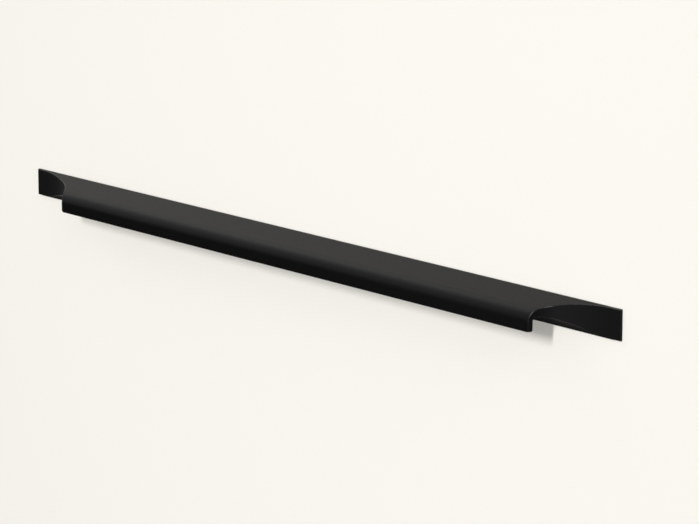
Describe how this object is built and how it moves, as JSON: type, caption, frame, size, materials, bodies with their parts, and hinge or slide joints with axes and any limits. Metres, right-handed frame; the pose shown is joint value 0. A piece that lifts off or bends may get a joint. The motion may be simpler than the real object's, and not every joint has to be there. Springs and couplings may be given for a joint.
{
  "type": "edge pull handle",
  "caption": "Full-width black edge pull for a cupboard or drawer front: an extruded hooked section with its lip milled away in a sweeping run-out at both ends, screwed on from behind.",
  "frame": {"origin": "on the back face, midway between the two screw holes", "axes": "+X along the handle, +Y up the door, +Z out of the door towards the lip"},
  "size_m": [0.396, 0.0137, 0.013],
  "materials": {
    "satin_black": "fine satin black coating on extruded aluminium"
  },
  "bodies": {
    "root": {"handle_profile": "satin_black"}
  },
  "joints": []
}
